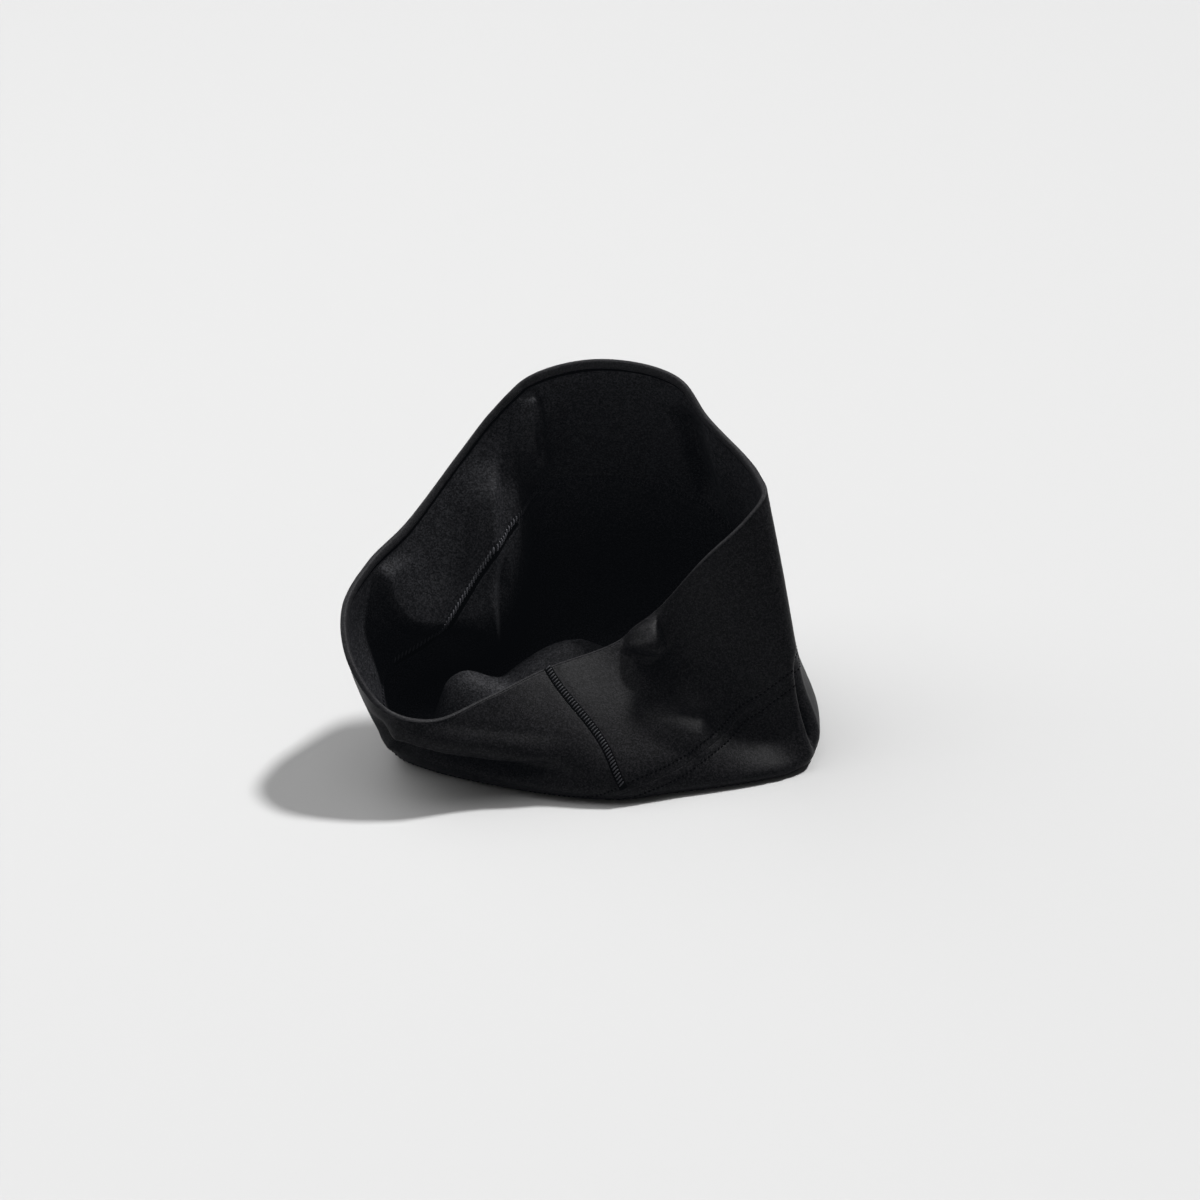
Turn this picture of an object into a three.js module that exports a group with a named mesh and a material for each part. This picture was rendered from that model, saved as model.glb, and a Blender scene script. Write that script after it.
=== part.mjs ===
// A stretch-cloth skull cap, lying on its crown with the mouth tipped up and open.
// Millimetres, +Z up. Looking in at the mouth, X runs to the right and Y away from the viewer.
// The cloth is one surface, measured by a turn round the mouth and a length down from the rim,
// and each sewn piece is a stretch of that surface with the cloth's thickness.

import * as THREE from "three";

// Driving sizes
const CLOTH = 1.7; // thickness of the brushed cloth
const HEM_DROP = 4.6; // height of the turned edge round the mouth
const HEM_THICK = 2.8; // thickness of the turned edge
const SEAM_GAP = 0.4; // clearance between neighbouring pieces
const FOOT_ROUND = 7; // height at which the wall starts to turn under
const FOOT_INSET = 5; // how far in from the foot's outline the turned cloth meets the floor
const FLAT_WIDTH = 10; // width of the ring of crown cloth that lies flat
const CROWN_RISE = 24; // height of the pushed-in crown above the floor
const CROWN_SHOULDER = 0.6; // share of that rise already reached halfway to the centre
const CROWN_CENTRE = { x: -8, y: 14 };
const FLOOR_SNAP = 0.4; // cloth lying lower than this is pressed flat on the floor

// Mesh density
const COLUMNS_PER_SECTION = 4;
const BAND_ROWS = 14;
const CROWN_ROWS = 14;
const POLE_CAP = 11; // radius of the fan that closes the crown at its centre
const LEG_STEPS = 14; // samples along each leg of a line from rim to crown centre

// Sections of the wall, one row for each line from rim to foot, counted from the back seam.
// rim: x, y, z of the mouth's edge. brow: how far down the wall it stands proudest, and by how much.
// tuck: how far down it is drawn in again, and by how much outward. foot: x, y where it meets the floor.
// seam: length of cloth from the rim down to the crown seam.
const SECTIONS = [
  { name: "back seam", rim: [-21, -18, 39], brow: [0.5, 7], tuck: [0.8, 5], foot: [7, -56], seam: 62 },
  { name: "front notch", rim: [7, -11, 47], brow: [0.45, 1], tuck: [0.78, 3], foot: [29, -54], seam: 60 },
  { name: "front rise", rim: [22, -12, 61], brow: [0.45, -6], tuck: [0.78, -3], foot: [48, -50], seam: 60 },
  { name: "front right", rim: [40, -15, 86], brow: [0.5, -5], tuck: [0.8, -5], foot: [65, -44], seam: 63 },
  { name: "right lip", rim: [57, -8, 100], brow: [0.45, -2], tuck: [0.78, -5], foot: [77, -37], seam: 69 },
  { name: "right corner", rim: [65, 6, 105], brow: [0.4, -1], tuck: [0.75, -6], foot: [82, -27], seam: 75 },
  { name: "right bulge", rim: [62, 18, 106], brow: [0.4, -3], tuck: [0.82, -6], foot: [87, -12], seam: 75 },
  { name: "right back", rim: [56, 30, 107], brow: [0.4, -1], tuck: [0.8, -1], foot: [86, 14], seam: 70 },
  { name: "right kink", rim: [42, 45, 118], brow: [0.4, 3], tuck: [0.75, 6], foot: [72, 44], seam: 66 },
  { name: "top right", rim: [30, 59, 129], brow: [0.4, 4], tuck: [0.75, 6], foot: [46, 63], seam: 62 },
  { name: "top", rim: [0, 71, 132], brow: [0.4, 4], tuck: [0.75, 6], foot: [8, 70], seam: 58 },
  { name: "top left", rim: [-28, 69, 125], brow: [0.4, 1], tuck: [0.75, 3], foot: [-20, 62], seam: 54 },
  { name: "ridge", rim: [-43, 62, 113], brow: [0.55, -11], tuck: [0.85, -9], foot: [-42, 38], seam: 52 },
  { name: "slope", rim: [-57, 51, 100], brow: [0.62, -19], tuck: [0.86, -12], foot: [-58, 30], seam: 50 },
  { name: "low slope", rim: [-78, 28, 80], brow: [0.46, -17], tuck: [0.8, -7], foot: [-76, 17], seam: 50 },
  { name: "left kink", rim: [-91, 8, 73], brow: [0.27, -7], tuck: [0.6, 2], foot: [-84, 2], seam: 51 },
  { name: "left lobe", rim: [-99, -14, 65], brow: [0.35, 3], tuck: [0.75, 0], foot: [-85, -14], seam: 52 },
  { name: "lobe low", rim: [-95, -34, 51], brow: [0.4, 1], tuck: [0.7, -2], foot: [-84, -25], seam: 54 },
  { name: "lobe bottom", rim: [-82, -45, 36], brow: [0.3, 1], tuck: [0.62, -4], foot: [-74, -34], seam: 56 },
  { name: "lobe end", rim: [-66, -46, 32], brow: [0.3, 3], tuck: [0.64, -5], foot: [-57, -42], seam: 58 },
  { name: "front left", rim: [-45, -36, 36], brow: [0.45, 7], tuck: [0.76, -1], foot: [-27, -52], seam: 62 },
];

// Folds pressed into the cloth. station: the section it lies at. half_width: in sections.
// from, to: lengths down from the rim. depth: inward if positive. crest: a sharp ridge or a soft roll.
const FOLDS = [
  { name: "inner pleat", station: 12.2, half_width: 0.8, from: 20, to: 100, depth: 4.5, crest: "sharp" },
  { name: "hook pleat", station: 11.0, half_width: 0.6, from: 7, to: 48, depth: 6, crest: "sharp" },
  { name: "right crease", station: 8.0, half_width: 0.6, from: 3, to: 66, depth: 3, crest: "sharp" },
  { name: "right pinch", station: 5.55, half_width: 0.5, from: 66, to: 112, depth: 3, crest: "sharp" },
  { name: "front bump", station: 1.7, half_width: 0.5, from: 5, to: 26, depth: -3, crest: "soft" },
];

// Mounds where the crown's cloth is pushed up inside. x, y: its place. reach: its radius. rise: its height.
const MOUNDS = [
  { name: "left mound", x: -54, y: -4, reach: 27, rise: 13 },
  { name: "middle mound", x: -14, y: 22, reach: 34, rise: 6 },
];

const TURNS = COLUMNS_PER_SECTION * SECTIONS.length; // columns round the mouth
const UP = new THREE.Vector3(0, 0, 1);

// Closed curves through the sections, all counted in the same turns
const ringOf = (points) => new THREE.CatmullRomCurve3(points, true, "centripetal");
const rimRing = ringOf(SECTIONS.map((row) => new THREE.Vector3(...row.rim)));
const footRing = ringOf(SECTIONS.map((row) => new THREE.Vector3(...row.foot, 0)));

function outwardAt(turn) {
  const tangent = footRing.getTangent(turn);
  return tangent.cross(UP).normalize();
}

function wallPoint(index, [share, out]) {
  const row = SECTIONS[index];
  const foot = new THREE.Vector3(...row.foot, FOOT_ROUND);
  const outward = outwardAt(index / SECTIONS.length);
  return new THREE.Vector3(...row.rim).lerp(foot, share).addScaledVector(outward, out);
}

const browRing = ringOf(SECTIONS.map((row, i) => wallPoint(i, row.brow)));
const tuckRing = ringOf(SECTIONS.map((row, i) => wallPoint(i, row.tuck)));

// The line of cloth from the rim, down the wall, under the foot and in to the crown's centre
function meridianAt(turn) {
  const foot = footRing.getPoint(turn);
  const centre = new THREE.Vector3(CROWN_CENTRE.x, CROWN_CENTRE.y, CROWN_RISE);
  const reach = Math.hypot(foot.x - centre.x, foot.y - centre.y);
  const inFrom = (inset, height) => foot.clone().lerp(centre, inset / reach).setZ(height);
  const flatEnd = FOOT_INSET + FLAT_WIDTH;
  const halfway = (flatEnd + reach) / 2;
  return new THREE.CatmullRomCurve3(
    [
      rimRing.getPoint(turn),
      browRing.getPoint(turn),
      tuckRing.getPoint(turn),
      foot.clone().setZ(FOOT_ROUND),
      inFrom(FOOT_INSET, CLOTH / 2),
      inFrom(flatEnd, CLOTH / 2),
      inFrom(halfway, CROWN_RISE * CROWN_SHOULDER),
      centre,
    ],
    false,
    "centripetal",
  );
}

// Legs of that line, counted from the rim
const LEGS = { footTurn: 3.5, flatEnd: 5, all: 7 };
const MERIDIAN_STEPS = LEGS.all * LEG_STEPS;
const meridians = new Map();

function meridian(turn) {
  const wrapped = turn - Math.floor(turn);
  const key = wrapped.toFixed(6);
  if (!meridians.has(key)) {
    const points = meridianAt(wrapped).getPoints(MERIDIAN_STEPS);
    const lengths = [0];
    for (let i = 1; i < points.length; i++) {
      points[i].z = Math.max(points[i].z, CLOTH / 2);
      lengths.push(lengths[i - 1] + points[i].distanceTo(points[i - 1]));
    }
    meridians.set(key, { points, lengths });
  }
  return meridians.get(key);
}

const lengthTo = (turn, leg) => meridian(turn).lengths[leg * LEG_STEPS];

function plainPoint(turn, down) {
  const { points, lengths } = meridian(turn);
  let i = 1;
  while (i < MERIDIAN_STEPS && lengths[i] < down) i++;
  const share = (down - lengths[i - 1]) / (lengths[i] - lengths[i - 1]);
  return points[i - 1].clone().lerp(points[i], share);
}

// Outward normal of any surface given as a function of turn and length down
const TURN_STEP = 0.002;
const DOWN_STEP = 1;

function normalOf(surface, turn, down) {
  const round = surface(turn + TURN_STEP, down).sub(surface(turn - TURN_STEP, down));
  const along = surface(turn, down + DOWN_STEP).sub(surface(turn, Math.max(down - DOWN_STEP, 0)));
  return along.cross(round).normalize();
}

const smooth = (share) => share * share * (3 - 2 * share);

const SHARP_POWER = 1.5; // how steeply a sharp ridge falls away from its crest
const FOLD_EASE = 1.6; // a fold keeps its full depth over the middle part of its length

function foldDepth(turn, down) {
  let depth = 0;
  for (const fold of FOLDS) {
    let away = turn * SECTIONS.length - fold.station;
    away -= SECTIONS.length * Math.round(away / SECTIONS.length);
    const across = Math.max(0, 1 - Math.abs(away) / fold.half_width);
    const middle = (fold.from + fold.to) / 2;
    const reach = (fold.to - fold.from) / 2;
    const along = Math.max(0, 1 - Math.abs(down - middle) / reach);
    const height = fold.crest === "sharp" ? across ** SHARP_POWER : smooth(across);
    depth += fold.depth * height * smooth(Math.min(1, along * FOLD_EASE));
  }
  return depth;
}

function moundRise(point) {
  let rise = 0;
  for (const mound of MOUNDS) {
    const away = Math.hypot(point.x - mound.x, point.y - mound.y);
    rise += mound.rise * smooth(Math.max(0, 1 - away / mound.reach));
  }
  return rise;
}

function clothPoint(turn, down) {
  const depth = foldDepth(turn, down);
  const point = plainPoint(turn, down);
  if (depth !== 0) point.addScaledVector(normalOf(plainPoint, turn, down), -depth);
  const pastFlat = (down - lengthTo(turn, LEGS.flatEnd)) / FLAT_WIDTH;
  if (pastFlat > 0) point.z += moundRise(point) * smooth(Math.min(1, pastFlat));
  return point;
}

// A point of the cloth's face: side 1 is the outer face, side -1 the inner.
// Pieces that meet at a seam take the seam's own normal, so the gap between them stays even.
function facePoint(turn, down, side, thickness = CLOTH, normalTurn = turn, normalDown = down) {
  const normal = normalOf(clothPoint, normalTurn, normalDown);
  const point = clothPoint(turn, down).addScaledVector(normal, (side * thickness) / 2);
  if (side > 0 && point.z < FLOOR_SNAP) point.z = 0;
  return point;
}

// Length of cloth from the rim to the crown seam
const seamRing = ringOf(SECTIONS.map((row, i) => new THREE.Vector3(row.seam, i, 0)));
const seamDrop = (turn) => seamRing.getPoint(turn - Math.floor(turn)).x;

function geometryOf(positions, index) {
  const geometry = new THREE.BufferGeometry();
  geometry.setAttribute("position", new THREE.Float32BufferAttribute(positions, 3));
  geometry.setIndex(index);
  geometry.computeVertexNormals();
  return geometry;
}

// A closed solid from closed sections of points, joined in a loop or capped at both ends
function solidFromSections(sections, looped) {
  const count = sections[0].length;
  const positions = sections.flat().flatMap((p) => [p.x, p.y, p.z]);
  const index = [];
  const at = (i, k) => (i % sections.length) * count + (k % count);
  const spans = looped ? sections.length : sections.length - 1;
  for (let i = 0; i < spans; i++) {
    for (let k = 0; k < count; k++) {
      index.push(at(i, k), at(i, k + 1), at(i + 1, k + 1));
      index.push(at(i, k), at(i + 1, k + 1), at(i + 1, k));
    }
  }
  if (!looped) {
    const half = count / 2;
    const last = sections.length - 1;
    for (let k = 0; k < half - 1; k++) {
      const mirror = count - 1 - k;
      index.push(at(0, k), at(0, mirror), at(0, k + 1));
      index.push(at(0, k + 1), at(0, mirror), at(0, mirror - 1));
      index.push(at(last, k), at(last, k + 1), at(last, mirror));
      index.push(at(last, k + 1), at(last, mirror - 1), at(last, mirror));
    }
  }
  return geometryOf(positions, index);
}

const spread = (count, from, to) =>
  Array.from({ length: count + 1 }, (_, i) => from + ((to - from) * i) / count);
const COLUMN_TURNS = spread(TURNS, 0, 1).slice(0, TURNS);

// Rows down the cloth, drawn together where the wall turns under at the foot
const TURN_CROWDING = 3;
const ROW_STEPS = 400; // places that a row may take
const ROUNDING = 1e-6;

function rowsAt(turn, count, from, to) {
  const foot = lengthTo(turn, LEGS.footTurn);
  const steps = spread(ROW_STEPS, from, to);
  const weights = [0];
  for (let i = 1; i < steps.length; i++) {
    const near = (steps[i] - foot) / FOOT_ROUND;
    weights.push(weights[i - 1] + 1 + TURN_CROWDING * Math.exp(-near * near));
  }
  const total = weights[weights.length - 1];
  return spread(count, 0, total).map((weight) => steps[weights.findIndex((w) => w >= weight - ROUNDING)]);
}

// One section of the band at a turn: down the outer face and back up the inner
function bandSection(turn, normalTurn) {
  const seam = seamDrop(turn);
  const downs = rowsAt(normalTurn, BAND_ROWS, HEM_DROP + SEAM_GAP, seam - SEAM_GAP / 2);
  const normalDowns = [HEM_DROP, ...downs.slice(1, BAND_ROWS), seam];
  const face = (side) =>
    downs.map((down, j) => facePoint(turn, down, side, CLOTH, normalTurn, normalDowns[j]));
  return [...face(1), ...face(-1).reverse()];
}

// The side band: a strip whose two ends meet at the back seam
function sideBand() {
  const halfGap = SEAM_GAP / 2 / rimRing.getLength();
  const turns = spread(TURNS, 0, 1);
  const ends = { 0: halfGap, [TURNS]: 1 - halfGap };
  return solidFromSections(turns.map((turn, i) => bandSection(ends[i] ?? turn, turn)), false);
}

// The crown: all round, from the crown seam in to its centre
function crown() {
  const rows = COLUMN_TURNS.map((turn) => {
    const start = seamDrop(turn) + SEAM_GAP / 2;
    return rowsAt(turn, CROWN_ROWS, start, lengthTo(turn, LEGS.all) - POLE_CAP);
  });
  const face = (side) =>
    COLUMN_TURNS.map((turn, i) =>
      rows[i].map((down, j) => facePoint(turn, down, side, CLOTH, turn, j === 0 ? seamDrop(turn) : down)),
    );
  const [outer, inner] = [face(1), face(-1)];
  const positions = [];
  const index = [];
  const rowCount = CROWN_ROWS + 1;
  for (const grid of [outer, inner]) {
    for (const column of grid) for (const p of column) positions.push(p.x, p.y, p.z);
  }
  const at = (face, i, j) => (face * TURNS + (i % TURNS)) * rowCount + j;
  const quad = (a, b, c, d) => index.push(a, b, c, a, c, d);
  for (let i = 0; i < TURNS; i++) {
    for (let j = 0; j < CROWN_ROWS; j++) {
      quad(at(0, i, j), at(0, i, j + 1), at(0, i + 1, j + 1), at(0, i + 1, j));
      quad(at(1, i, j), at(1, i + 1, j), at(1, i + 1, j + 1), at(1, i, j + 1));
    }
    quad(at(0, i, 0), at(0, i + 1, 0), at(1, i + 1, 0), at(1, i, 0));
  }
  const poles = [1, -1].map((side) => {
    const p = new THREE.Vector3(CROWN_CENTRE.x, CROWN_CENTRE.y, CROWN_RISE);
    p.z += moundRise(p) - (side * CLOTH) / 2;
    positions.push(p.x, p.y, p.z);
    return positions.length / 3 - 1;
  });
  for (let i = 0; i < TURNS; i++) {
    index.push(at(0, i, CROWN_ROWS), poles[0], at(0, i + 1, CROWN_ROWS));
    index.push(at(1, i, CROWN_ROWS), at(1, i + 1, CROWN_ROWS), poles[1]);
  }
  return geometryOf(positions, index);
}

// The hem: the turned edge that runs round the mouth.
// Its section, as shares of its height and thickness, from the rounded lip down to the band
const HEM_SECTION = [
  { down: 0, thick: 0.55 },
  { down: 0.3, thick: 1 },
  { down: 1, thick: 0.8 },
];

function rimHem() {
  const sections = COLUMN_TURNS.map((turn) => {
    const face = (side) =>
      HEM_SECTION.map(({ down, thick }) => facePoint(turn, down * HEM_DROP, side, HEM_THICK * thick));
    return [...face(1), ...face(-1).reverse()];
  });
  return solidFromSections(sections, true);
}

function piece(name, geometry, colour, roughness) {
  const material = new THREE.MeshStandardMaterial({ color: colour, roughness, metalness: 0 });
  const mesh = new THREE.Mesh(geometry, material);
  mesh.name = name;
  return mesh;
}

const cloth = new THREE.Group();
cloth.add(piece("side_band", sideBand(), 0x17171a, 0.85));
cloth.add(piece("crown", crown(), 0x151518, 0.85));
cloth.add(piece("rim_hem", rimHem(), 0x101012, 0.8));

// The origin is the middle of the cap's box, on the floor
const box = new THREE.Box3().setFromObject(cloth);
const middle = box.getCenter(new THREE.Vector3());
cloth.position.set(-middle.x, -middle.y, 0);

const cap = new THREE.Group();
cap.add(cloth);

export default cap;
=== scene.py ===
"""The looks of a black stretch-cloth skull cap, lying on its crown with the mouth tipped up and open.

The cloth is one surface, measured by a turn round the mouth and a length down from the rim, as the
frame's solids are. Lengths in the tables are millimetres, and X, Y, Z run as they do in the frame.
"""

import math

import bpy
import numpy as np
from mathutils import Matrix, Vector


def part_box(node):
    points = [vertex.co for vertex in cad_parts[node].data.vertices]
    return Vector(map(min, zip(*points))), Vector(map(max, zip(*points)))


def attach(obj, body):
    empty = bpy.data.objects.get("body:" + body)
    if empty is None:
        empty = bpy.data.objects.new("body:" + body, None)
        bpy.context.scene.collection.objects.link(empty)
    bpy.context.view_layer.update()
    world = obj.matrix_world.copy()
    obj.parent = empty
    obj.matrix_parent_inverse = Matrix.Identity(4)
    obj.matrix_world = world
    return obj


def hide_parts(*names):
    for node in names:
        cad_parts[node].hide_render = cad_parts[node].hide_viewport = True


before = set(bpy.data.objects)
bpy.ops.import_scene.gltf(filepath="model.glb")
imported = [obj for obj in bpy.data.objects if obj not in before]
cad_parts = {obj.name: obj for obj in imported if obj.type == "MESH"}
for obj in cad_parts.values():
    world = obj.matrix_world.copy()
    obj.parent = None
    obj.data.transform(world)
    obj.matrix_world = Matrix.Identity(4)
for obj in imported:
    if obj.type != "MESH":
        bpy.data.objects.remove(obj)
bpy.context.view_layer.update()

MM = 0.001

# Driving sizes of the cloth
CLOTH = 1.7  # thickness of the brushed cloth
FOOT_INSET = 0.7  # how far in the turned cloth meets the floor, for each mm that it turns under
FLAT_WIDTH = 10  # width of the ring of crown cloth that lies flat
CROWN_RISE = 24  # height of the pushed-in crown above the floor
CROWN_SHOULDER = 0.6  # share of that rise already reached halfway to the centre
CROWN_CENTRE = (-8, 14)
FLOOR_SNAP = 0.4  # cloth lying lower than this is pressed flat on the floor
MOUTH_ROUND = 508  # length of the mouth's edge

# Sections of the wall, one row for each line from rim to foot, counted from the back seam.
# rim: x, y, z of the mouth's edge. brow: how far down the wall it stands proudest, and by how much.
# tuck: how far down it is drawn in again, and how far out it stands there. foot: x, y near the floor, and
# the height at which the wall starts to turn under. seam: length of cloth from the rim to the crown seam.
SECTION_FIELDS = ("name", "rim", "brow", "tuck", "foot", "seam")
SECTION_ROWS = [
    ("back seam", (-21, -20, 40.2), (0.5, 6), (0.8, 5), (7, -56, 4), 60),
    ("front notch", (7, -5, 43.5), (0.42, 6.5), (0.75, 8), (29, -50.5, 3), 60),
    ("front rise", (22, -0.5, 54.5), (0.45, -6), (0.74, 2), (48, -46, 3), 60),
    ("front right", (40, -7, 81.5), (0.5, -11), (0.86, -8), (65, -41, 3), 66),
    ("right lip", (57, -2, 97), (0.5, -5), (0.88, -8), (76.5, -36, 3), 73),
    ("right corner", (65, 6, 105), (0.3, 0.5), (0.8, -1), (85.5, -27.5, 5), 74),
    ("right bulge", (63, 18, 107), (0.35, -1), (0.78, -2), (88, -12, 7), 75),
    ("right back", (58, 31, 108.5), (0.4, -1), (0.8, -1), (86, 14, 7), 70),
    ("right kink", (43, 45.5, 118.8), (0.4, 3), (0.75, 6), (72, 44, 7), 66),
    ("top right", (31, 59, 130), (0.4, 4), (0.75, 6), (46, 63, 7), 62),
    ("top", (0, 71, 132), (0.4, 4), (0.75, 6), (8, 70, 7), 58),
    ("top left", (-28.5, 69, 125.6), (0.4, 1), (0.75, 3), (-20, 62, 7), 52),
    ("ridge", (-43.7, 62, 113.6), (0.48, -15), (0.85, -9), (-42, 38, 7), 46),
    ("slope", (-57, 51, 100), (0.6, -17), (0.86, -12), (-58, 30, 7), 50),
    ("low slope", (-78, 28, 80), (0.46, -9), (0.8, -7), (-76, 17, 7), 50),
    ("left kink", (-92.5, 8, 73), (0.3, 2), (0.6, 3), (-84, 2, 7), 51),
    ("left lobe", (-101.5, -15, 65), (0.35, 3), (0.75, 0), (-85, -14, 7), 52),
    ("lobe low", (-98, -36, 52.2), (0.4, 1), (0.7, 1), (-84, -25, 7), 54),
    ("lobe bottom", (-84, -49, 38.3), (0.3, 1), (0.62, -8), (-74, -34, 8), 52),
    ("lobe end", (-66, -50.5, 34.6), (0.3, 3), (0.62, -10), (-57, -42, 7), 50),
    ("front left", (-45, -38, 37.3), (0.5, 2), (0.8, -4), (-27, -52, 6), 51),
]
SECTIONS = [dict(zip(SECTION_FIELDS, row)) for row in SECTION_ROWS]
STATIONS = len(SECTIONS)

# Broad folds pressed into the cloth, as the solids have them.
# station: the section it lies at. half_width: in sections. reach: lengths down from the rim.
# depth: inward if positive. crest: a sharp ridge or a soft roll.
FOLDS = [
    {"name": "inner pleat", "station": 12.35, "half_width": 0.8,
     "reach": (20, 100), "depth": 2, "crest": "sharp"},
    {"name": "hook pleat", "station": 11.0, "half_width": 0.6,
     "reach": (7, 48), "depth": 6, "crest": "sharp"},
    {"name": "right crease", "station": 8.0, "half_width": 0.6,
     "reach": (3, 66), "depth": 3, "crest": "sharp"},
    {"name": "right pinch", "station": 5.2, "half_width": 0.5,
     "reach": (66, 112), "depth": 3, "crest": "sharp"},
    {"name": "front bump", "station": 1.7, "half_width": 0.65,
     "reach": (-1, 16), "depth": -5, "crest": "soft"},
]
SHARP_POWER = 1.5  # how steeply a sharp ridge falls away from its crest
FOLD_EASE = 1.6  # a fold keeps its full depth over the middle part of its length

# Mounds where the crown's cloth is pushed up inside. at: x, y. reach: its radius. rise: its height.
MOUNDS = [
    {"name": "left mound", "at": (-57, 0), "reach": 24, "rise": 18},
    {"name": "middle mound", "at": (-16, 13), "reach": 34, "rise": 10},
]

# Finer creases, each along a line on the cloth. line: (section, length down) from end to end.
# widths: how far it reaches on the two sides, first the side of lower sections for a line that runs down.
# depth: inward if positive. crest: as in the folds. ends: shares of its length over which it comes up and
# dies away, where they differ from the usual ones.
CREASES = [
    {"name": "ridge edge", "line": [
        (12.2, 16), (12.4, 27), (12.5, 38), (12.6, 48), (12.8, 58), (12.83, 75), (12.4, 102),
     ], "widths": (3, 18), "depth": 6, "crest": "sharp"},
    {"name": "hook edge", "line": [(10.95, 5), (11.1, 14), (11.2, 22), (11.2, 34)],
     "widths": (4, 14), "depth": 5.5, "crest": "sharp"},
    {"name": "pocket edge", "line": [(14.75, 4), (14.65, 20), (14.4, 33), (13.6, 52), (13.0, 72), (12.5, 98)],
     "widths": (20, 5), "depth": 5, "crest": "sharp", "ends": (0.1, 0.25)},
    {"name": "notch edge", "line": [(0.96, 1), (1.15, 5), (1.45, 9), (1.88, 13)],
     "widths": (2, 12), "depth": -5, "crest": "sharp", "ends": (0.8, 0.1)},
    {"name": "right facet", "line": [(9.1, 13), (8.98, 36), (8.85, 66)],
     "widths": (16, 4), "depth": -7, "crest": "sharp", "ends": (0.25, 0.3)},
    {"name": "front hump", "line": [(1.2, 30), (1.4, 40), (1.7, 48), (2.2, 58)],
     "widths": (12, 12), "depth": -3.2, "crest": "soft", "ends": (0.5, 0.2)},
    {"name": "recess edge", "line": [
        (17.2, 47), (17.7, 28), (18.12, 15), (18.45, 7.5), (18.8, 8), (19.2, 12.5), (19.55, 18.5),
        (19.95, 24), (20.35, 30.5), (20.65, 38),
     ], "widths": (2.5, 7), "depth": -3.8, "crest": "sharp", "ends": (0.06, 0.2)},
    {"name": "top roll", "line": [(11.1, 9), (10.6, 9), (10.0, 9), (9.4, 9)],
     "widths": (8, 22), "depth": 3, "crest": "soft", "ends": (0.3, 0.6)},
    {"name": "right pinch edge", "line": [(5.3, 66), (5.2, 84), (5.1, 112)],
     "widths": (4, 6), "depth": 3.5, "crest": "sharp"},
]

# Mesh density
COLUMNS = 24 * STATIONS
MERIDIAN_LEGS = 7
FLAT_LEGS = 5  # legs of a line down to the inner edge of the flat ring
MERIDIAN_STEPS = 36 * MERIDIAN_LEGS
BAND_ROWS = 64
CROWN_ROWS = 84
POLE_CAP = 2.5  # radius of the fan that closes the crown at its centre

TURN_STEP = 0.001  # a small part of a turn, for directions round the cloth
LATTICE = 0.5  # the cloth is worked out at lengths this far apart


def column_of(name):
    return np.array([row[name] for row in SECTIONS], float)


def unit(vectors):
    return vectors / np.maximum(np.linalg.norm(vectors, axis=-1, keepdims=True), 1e-9)


def smooth(share):
    share = np.clip(share, 0, 1)
    return share * share * (3 - 2 * share)


def spline(points, shares, closed):
    """Points at the given shares of a smooth curve through points, spaced as a centripetal curve is."""
    spans = len(points) if closed else len(points) - 1
    at = (shares % 1 if closed else shares) * spans
    span = np.minimum(at.astype(int), spans - 1)
    if closed:
        ring = points
        before = -1
    else:
        ring = np.concatenate([[2 * points[0] - points[1]], points, [2 * points[-1] - points[-2]]])
        before = 0
    p0, p1, p2, p3 = (ring[(span + before + i) % len(ring)] for i in range(4))
    d0, d1, d2 = (
        np.maximum(np.linalg.norm(b - a, axis=-1, keepdims=True), 1e-6) ** 0.5
        for a, b in ((p0, p1), (p1, p2), (p2, p3))
    )
    start = ((p1 - p0) / d0 - (p2 - p0) / (d0 + d1) + (p2 - p1) / d1) * d1
    end = ((p2 - p1) / d1 - (p3 - p1) / (d1 + d2) + (p3 - p2) / d2) * d1
    share = (at - span).reshape(-1, *[1] * (points.ndim - 1))
    second = 3 * (p2 - p1) - 2 * start - end
    third = 2 * (p1 - p2) + start + end
    return p1 + share * (start + share * (second + share * third))


# Closed curves through the sections, all counted in the same turns. The seam's lengths are spaced by section.
RIM = column_of("rim")
FOOT = column_of("foot")
SEAM = np.column_stack([column_of("seam"), np.arange(STATIONS), np.zeros(STATIONS)])


def outward(turns):
    ahead = spline(FOOT, turns + TURN_STEP, True) - spline(FOOT, turns - TURN_STEP, True)
    return unit(np.cross(ahead, (0, 0, 1)))


def wall_ring(name):
    share, out = column_of(name).T
    leaning = RIM + (FOOT - RIM) * share[:, None]
    return leaning + outward(np.arange(STATIONS) / STATIONS) * out[:, None]


BROW = wall_ring("brow")
TUCK = wall_ring("tuck")


def seam_drop(turns):
    """Length of cloth from the rim to the crown seam."""
    return spline(SEAM, turns, True)[:, 0]


OVERRUN = 3  # the lines run this far past the rim, for the rounded lip
ALL_TURNS = np.arange(COLUMNS) / COLUMNS


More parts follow.
